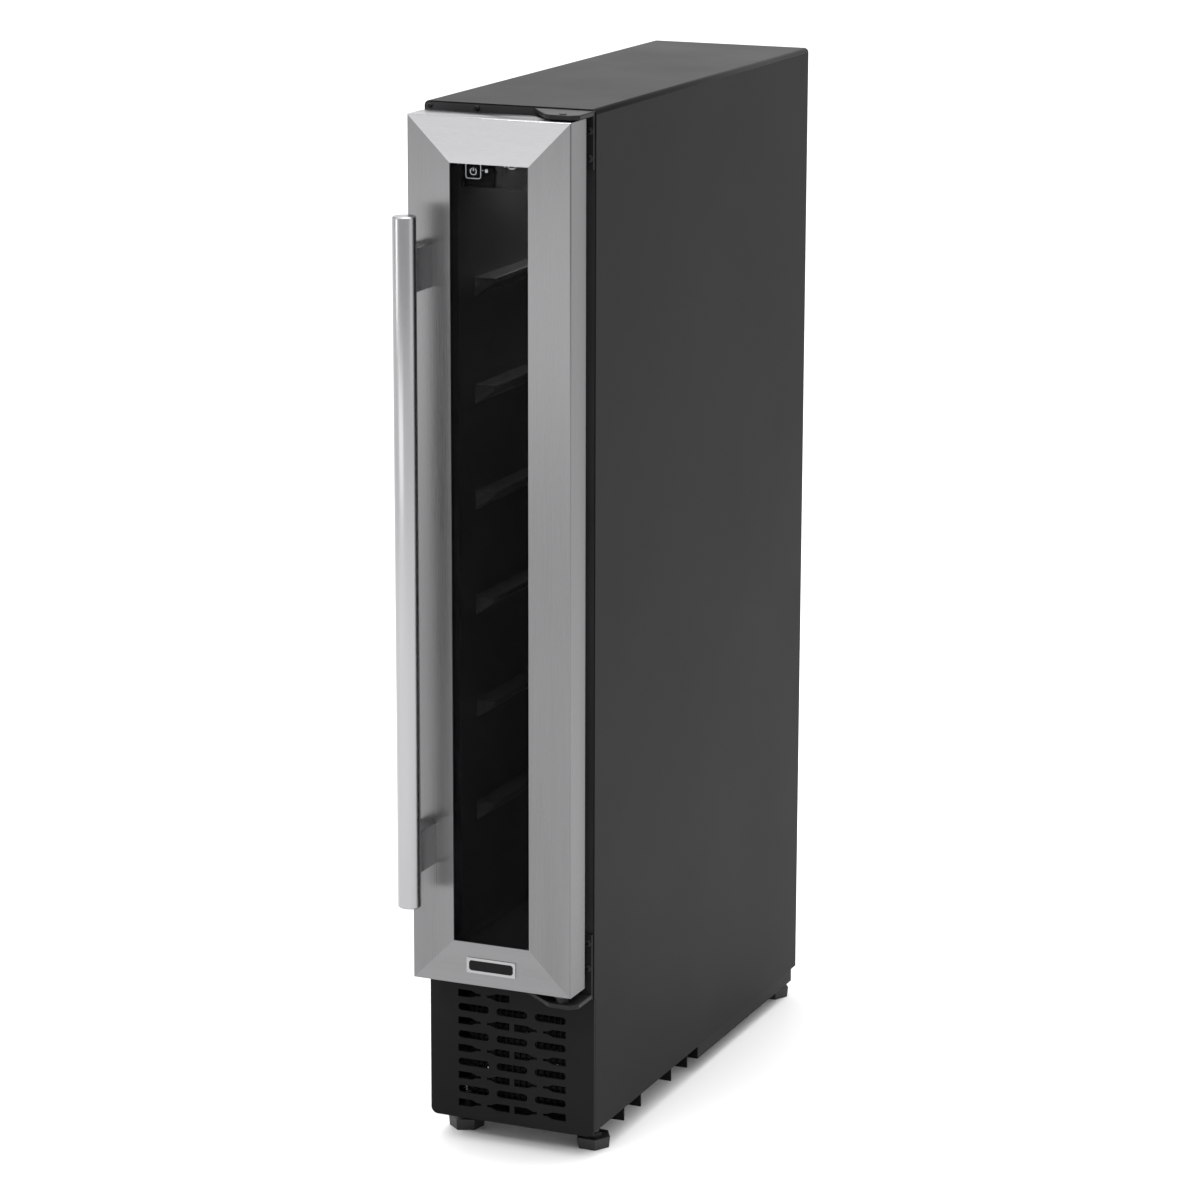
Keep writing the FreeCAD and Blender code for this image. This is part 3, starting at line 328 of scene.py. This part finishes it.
def soften(name, radius):
    """Rounds a CAD node's hard edges with modifiers; its vertices stay as they are."""
    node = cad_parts[name]
    weld = node.modifiers.new("weld", "WELD")
    weld.merge_threshold = WELD_WITHIN
    bevel = node.modifiers.new("bevel", "BEVEL")
    bevel.width = radius * MM
    bevel.segments = 2
    bevel.limit_method = "ANGLE"
    bevel.angle_limit = SHARPEST_SMOOTH
    bevel.harden_normals = True


def soften_edges():
    for name, radius in FOLDED.items():
        soften(name, radius)


# -------------------------------------------------------------- display marks

MARK_DEPTH = 0.12 * MM
# Places on the control glass, from its lower left corner.
SWITCH_SIDES = (3.1 * MM, 16 * MM)
SWITCH_ENDS = (6.5 * MM, 18.5 * MM)
SWITCH_MIDDLE = 12 * MM
LOCK_PLACE = (21 * MM, 12.7 * MM)
DIGITS = (("1", 31 * MM), ("8", 40 * MM))
DIGIT_FOOT = 16 * MM


def add_piece(name, bm, body, material):
    """Turns a closed bmesh, made in the object's frame, into a piece that rides on a body."""
    bmesh.ops.recalc_face_normals(bm, faces=bm.faces)
    mesh = bpy.data.meshes.new(name)
    bm.to_mesh(mesh)
    bm.free()
    piece = bpy.data.objects.new(name, mesh)
    bpy.context.scene.collection.objects.link(piece)
    piece.data.materials.append(material)
    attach(piece, body)
    return piece


def stroke(bm, path, width, y, closed=False):
    """A flat stroke of even width along points (x, z), MARK_DEPTH thick on the plane y."""
    count = len(path)
    rails = []
    for i, point in enumerate(path):
        before = path[i - 1] if closed or i > 0 else point
        after = path[(i + 1) % count] if closed or i < count - 1 else point
        along = Vector((after[0] - before[0], after[1] - before[1])).normalized()
        side = Vector((-along.y, along.x)) * width / 2
        rails.append([
            bm.verts.new((point[0] + side.x * k, y + d, point[1] + side.y * k))
            for k, d in ((-1, 0), (-1, -MARK_DEPTH), (1, -MARK_DEPTH), (1, 0))
        ])
    last = count if closed else count - 1
    for i in range(last):
        a, b = rails[i], rails[(i + 1) % count]
        for k in range(4):
            bm.faces.new((a[k], a[(k + 1) % 4], b[(k + 1) % 4], b[k]))
    if not closed:
        bm.faces.new(rails[0])
        bm.faces.new(reversed(rails[-1]))


def arc(centre, radius, start, end, steps):
    """Points (x, z) on an arc, angles in degrees anticlockwise from +X."""
    turns = [math.radians(start + (end - start) * i / steps) for i in range(steps + 1)]
    return [(centre[0] + radius * math.cos(t), centre[1] + radius * math.sin(t)) for t in turns]


def rounded_box(left, right, bottom, top, radius):
    corners = ((right - radius, top - radius, 0), (left + radius, top - radius, 90),
               (left + radius, bottom + radius, 180), (right - radius, bottom + radius, 270))
    points = []
    for x, z, start in corners:
        points += arc((x, z), radius, start, start + 90, 5)
    return points


def power_mark(bm, centre, y):
    """A round switch mark: an open ring with a bar in its gap."""
    x, z = centre
    radius = 2.6 * MM
    line = 0.6 * MM
    start, end = 120, 420  # degrees; the ring is open round its top
    stroke(bm, arc(centre, radius, start, end, 26), line, y)
    stroke(bm, [(x, z + 0.4 * MM), (x, z + 3.2 * MM)], line, y)


def lock_mark(bm, centre, y):
    """A small padlock: a square body under a bow, with a dash beside it."""
    x, z = centre
    stroke(bm, [(x - 1.2 * MM, z), (x + 1.2 * MM, z)], 1.9 * MM, y)
    stroke(bm, arc((x, z + 0.9 * MM), 0.9 * MM, 0, 180, 10), 0.35 * MM, y)
    stroke(bm, [(x - 4.0 * MM, z + 0.6 * MM), (x - 2.6 * MM, z + 0.6 * MM)], 0.4 * MM, y)


DIGIT_BARS = {"1": "bc", "8": "abcdefg"}  # the lit bars of a seven-bar digit
BAR_WIDTH = 0.8 * MM


def digit(bm, character, left, bottom, y):
    """One seven-bar digit, 6 mm wide and 11 mm tall."""
    right = left + 6 * MM
    top = bottom + 11 * MM
    middle = (bottom + top) / 2
    gap = 0.7 * MM
    bars = {
        "a": ((left + gap, top), (right - gap, top)),
        "b": ((right, middle + gap), (right, top - gap)),
        "c": ((right, bottom + gap), (right, middle - gap)),
        "d": ((left + gap, bottom), (right - gap, bottom)),
        "e": ((left, bottom + gap), (left, middle - gap)),
        "f": ((left, middle + gap), (left, top - gap)),
        "g": ((left + gap, middle), (right - gap, middle)),
    }
    for bar in DIGIT_BARS[character]:
        stroke(bm, list(bars[bar]), BAR_WIDTH, y)


def display_marks(materials):
    """The lit marks on the control panel's glass: a switch in a rounded frame, a lock and two digits."""
    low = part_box("control_glass")[0]
    bm = bmesh.new()
    left, right = (low.x + side for side in SWITCH_SIDES)
    bottom, top = (low.z + end for end in SWITCH_ENDS)
    stroke(bm, rounded_box(left, right, bottom, top, 2 * MM), 0.5 * MM, low.y, closed=True)
    power_mark(bm, ((left + right) / 2, low.z + SWITCH_MIDDLE), low.y)
    lock_mark(bm, (low.x + LOCK_PLACE[0], low.z + LOCK_PLACE[1]), low.y)
    for character, place in DIGITS:
        digit(bm, character, low.x + place, low.z + DIGIT_FOOT, low.y)
    add_piece("display_marks", bm, "cabinet", materials["mark"])


# --------------------------------------------------------------------- badge


def badge_inlay(materials):
    """A plain dark inlay on the bright badge plate, with rounded ends and no marking."""
    low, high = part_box("badge_plate")
    margin = 2.2 * MM
    corner = 2.5 * MM
    sunk = 0.1 * MM
    thickness = 0.25 * MM
    outline = rounded_box(low.x + margin, high.x - margin, low.z + margin, high.z - margin, corner)
    bm = bmesh.new()
    face = bm.faces.new([bm.verts.new((x, low.y + sunk, z)) for x, z in outline])
    raised = bmesh.ops.extrude_face_region(bm, geom=[face])
    moved = [v for v in raised["geom"] if isinstance(v, bmesh.types.BMVert)]
    bmesh.ops.translate(bm, vec=(0, -thickness, 0), verts=moved)
    inlay = add_piece("badge_inlay", bm, "door", materials["grille_black"])
    edge = inlay.modifiers.new("bevel", "BEVEL")
    edge.width = 0.1 * MM
    edge.segments = 2
    edge.limit_method = "ANGLE"


# --------------------------------------------------------------- rear fasteners

SCREW_STEPS = 16  # points round a screw head; every fourth is an arm of its cross recess
HEAD_PROFILE = ((3.3, 0), (3.3, 0.5), (2.9, 1.0), (2.2, 1.35), (1.7, 1.45))  # radius, height, mm
RECESS_ARM = 1.45  # mm from the middle
RECESS_WAIST = 0.55
RECESS_FLOOR = 0.6  # height, mm
RECESS_TAPER = 0.7  # its size at the floor, as a share of that at the rim


def screw_head(bm, x, y, z):
    """A domed screw head with a cross recess, standing on the rear plane y."""
    def ring(radii, height):
        turns = [2 * math.pi * i / SCREW_STEPS for i in range(SCREW_STEPS)]
        return [bm.verts.new((x + r * MM * math.cos(t), y + height * MM, z + r * MM * math.sin(t)))
                for r, t in zip(radii, turns)]

    arms = [RECESS_ARM if i % 4 == 0 else RECESS_WAIST for i in range(SCREW_STEPS)]
    rings = [ring([radius] * SCREW_STEPS, height) for radius, height in HEAD_PROFILE]
    rings.append(ring(arms, HEAD_PROFILE[-1][1]))
    rings.append(ring([arm * RECESS_TAPER for arm in arms], RECESS_FLOOR))
    for low, high in zip(rings, rings[1:]):
        for i in range(SCREW_STEPS):
            j = (i + 1) % SCREW_STEPS
            bm.faces.new((low[i], low[j], high[j], high[i]))
    bm.faces.new(rings[0])
    bm.faces.new(rings[-1])


def rear_screws(materials):
    """The screws that hold the back panel and the rear cover, along their side edges."""
    bm = bmesh.new()
    inset = 6 * MM
    for node, rows in (("back_panel", 4), ("rear_cover", 2)):
        low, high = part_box(node)
        for row in range(rows):
            z = low.z + inset + (high.z - low.z - 2 * inset) * row / (rows - 1)
            for x in (low.x + inset, high.x - inset):
                screw_head(bm, x, high.y, z)
    add_piece("rear_screws", bm, "cabinet", materials["pin_steel"])


# ------------------------------------------------------------- light and floor


FLOOR_HALF = 30.0
OVERCAST = 1.45  # strength of the even light from above
OVERCAST_SPREAD = math.radians(80)
SKY_TINT = (0.985, 0.99, 1.0, 1)
BRIGHT_SIDE = (0, 0.75, 0.5)  # the surround is brightest this way, behind and above
SURROUND = {"From Min": -0.5, "From Max": 0.9, "To Min": 0.8, "To Max": 1.25}  # facing to strength
MIDDLE = (0, 0.05, 0.45)
SOFTBOXES = (  # name, place, what it is aimed at, size in metres, watts
    ("box_above", (0.1, 0.2, 2.6), MIDDLE, (1.6, 1.6), 22),
    ("box_left", (-1.7, -1.3, 1.3), MIDDLE, (0.35, 1.5), 9),
    ("box_right", (2.6, -0.6, 1.3), MIDDLE, (0.8, 1.8), 3),
    ("box_front", (-0.35, -2.6, 2.3), (0, 0, 0.75), (0.7, 0.5), 26),
    ("box_low", (-1.3, -3.0, 0.22), (0, 0, 0.85), (2.4, 0.44), 5),
)
CABIN_LAMP_BEHIND = 0.14  # behind the light cover
CABIN_LAMP_ABOVE = 0.02  # above the cover's lower face
CABIN_LAMP_LEAN = 0.02  # how far back it is aimed, at the floor
CABIN_LAMP_SIZE = (0.05, 0.2)
CABIN_LAMP_WATTS = 0.22


def floor_material():
    s = Shader("studio_floor")
    s.colours(s.noise(even(0.8)), shade(0.86), shade(0.9))
    s.roughness(s.noise(even(3)), 0.7, 0.85)
    return s.material


def make_floor():
    """A wide pale floor under the feet."""
    half = FLOOR_HALF
    corners = ((-half, -half), (half, -half), (half, half), (-half, half))
    mesh = bpy.data.meshes.new("studio_floor")
    mesh.from_pydata([(x, y, 0) for x, y in corners], [], [(0, 1, 2, 3)])
    floor = bpy.data.objects.new("studio_floor", mesh)
    floor.data.materials.append(floor_material())
    bpy.context.scene.collection.objects.link(floor)


def softbox(name, place, target, size, watts):
    """A rectangular area light at place, aimed at target."""
    data = bpy.data.lights.new(name, "AREA")
    data.shape = "RECTANGLE"
    data.size, data.size_y = size
    data.energy = watts
    lamp = bpy.data.objects.new(name, data)
    bpy.context.scene.collection.objects.link(lamp)
    lamp.location = place
    lamp.rotation_mode = "QUATERNION"
    lamp.rotation_quaternion = (Vector(target) - Vector(place)).to_track_quat("-Z", "Y")


def make_lights():
    """Soft boxes above, left, right, in front and low ahead of the door, under an even sky."""
    for box in SOFTBOXES:
        softbox(*box)
    overcast()


def overcast():
    """Even light from above, so that the floor is equally pale near and far."""
    data = bpy.data.lights.new("overcast", "SUN")
    data.energy = OVERCAST
    data.angle = OVERCAST_SPREAD
    sky = bpy.data.objects.new("overcast", data)
    bpy.context.scene.collection.objects.link(sky)


def cabin_light():
    """The cabin's own light from under its ceiling, which fades down the liner's walls."""
    low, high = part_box("light_cover")
    x = (low.x + high.x) / 2
    y = high.y + CABIN_LAMP_BEHIND
    place = (x, y, low.z + CABIN_LAMP_ABOVE)
    softbox("cabin_lamp", place, (x, y + CABIN_LAMP_LEAN, 0), CABIN_LAMP_SIZE, CABIN_LAMP_WATTS)


def make_world():
    """A pale surround, brightest behind and above."""
    world = bpy.data.worlds.new("studio")
    world.use_nodes = True
    tree = world.node_tree
    surround = tree.nodes["Background"]
    direction = tree.nodes.new("ShaderNodeTexCoord")
    facing = tree.nodes.new("ShaderNodeVectorMath")
    facing.operation = "DOT_PRODUCT"
    facing.inputs[1].default_value = BRIGHT_SIDE
    ramp = tree.nodes.new("ShaderNodeMapRange")
    for key, number in SURROUND.items():
        ramp.inputs[key].default_value = number
    tree.links.new(direction.outputs["Generated"], facing.inputs[0])
    tree.links.new(facing.outputs["Value"], ramp.inputs["Value"])
    tree.links.new(ramp.outputs["Result"], surround.inputs["Strength"])
    surround.inputs["Color"].default_value = SKY_TINT
    bpy.context.scene.world = world
    bpy.context.scene.view_settings.view_transform = "Standard"


CAMERA_ANGLES = (23.18, 13.76, 0.16)  # degrees round the object, above the horizon, and of roll
CAMERA_PLACE = (1.3819, -3.2455, 1.2891)
LENS = 128.07  # mm
SENSOR = 36  # mm


def make_camera():
    """The camera at its viewing angle, built from its directions because it is rolled a little."""
    azimuth, elevation, roll = (math.radians(a) for a in CAMERA_ANGLES)
    level = math.cos(elevation)
    forward = Vector((-math.sin(azimuth) * level, math.cos(azimuth) * level, -math.sin(elevation)))
    right = Vector((math.cos(azimuth), math.sin(azimuth), 0))
    up = right.cross(forward)
    rolled_right = math.cos(roll) * right + math.sin(roll) * up
    rolled_up = math.cos(roll) * up - math.sin(roll) * right
    camera = bpy.data.objects.new("camera", bpy.data.cameras.new("camera"))
    camera.data.lens = LENS
    camera.data.sensor_width = SENSOR
    turn = Matrix((rolled_right, rolled_up, -forward)).transposed().to_4x4()
    camera.matrix_world = Matrix.Translation(CAMERA_PLACE) @ turn
    bpy.context.scene.collection.objects.link(camera)
    bpy.context.scene.camera = camera


materials = make_materials()
paint_nodes(materials)
soften_edges()
display_marks(materials)
badge_inlay(materials)
rear_screws(materials)
make_camera()
make_floor()
make_lights()
cabin_light()
make_world()
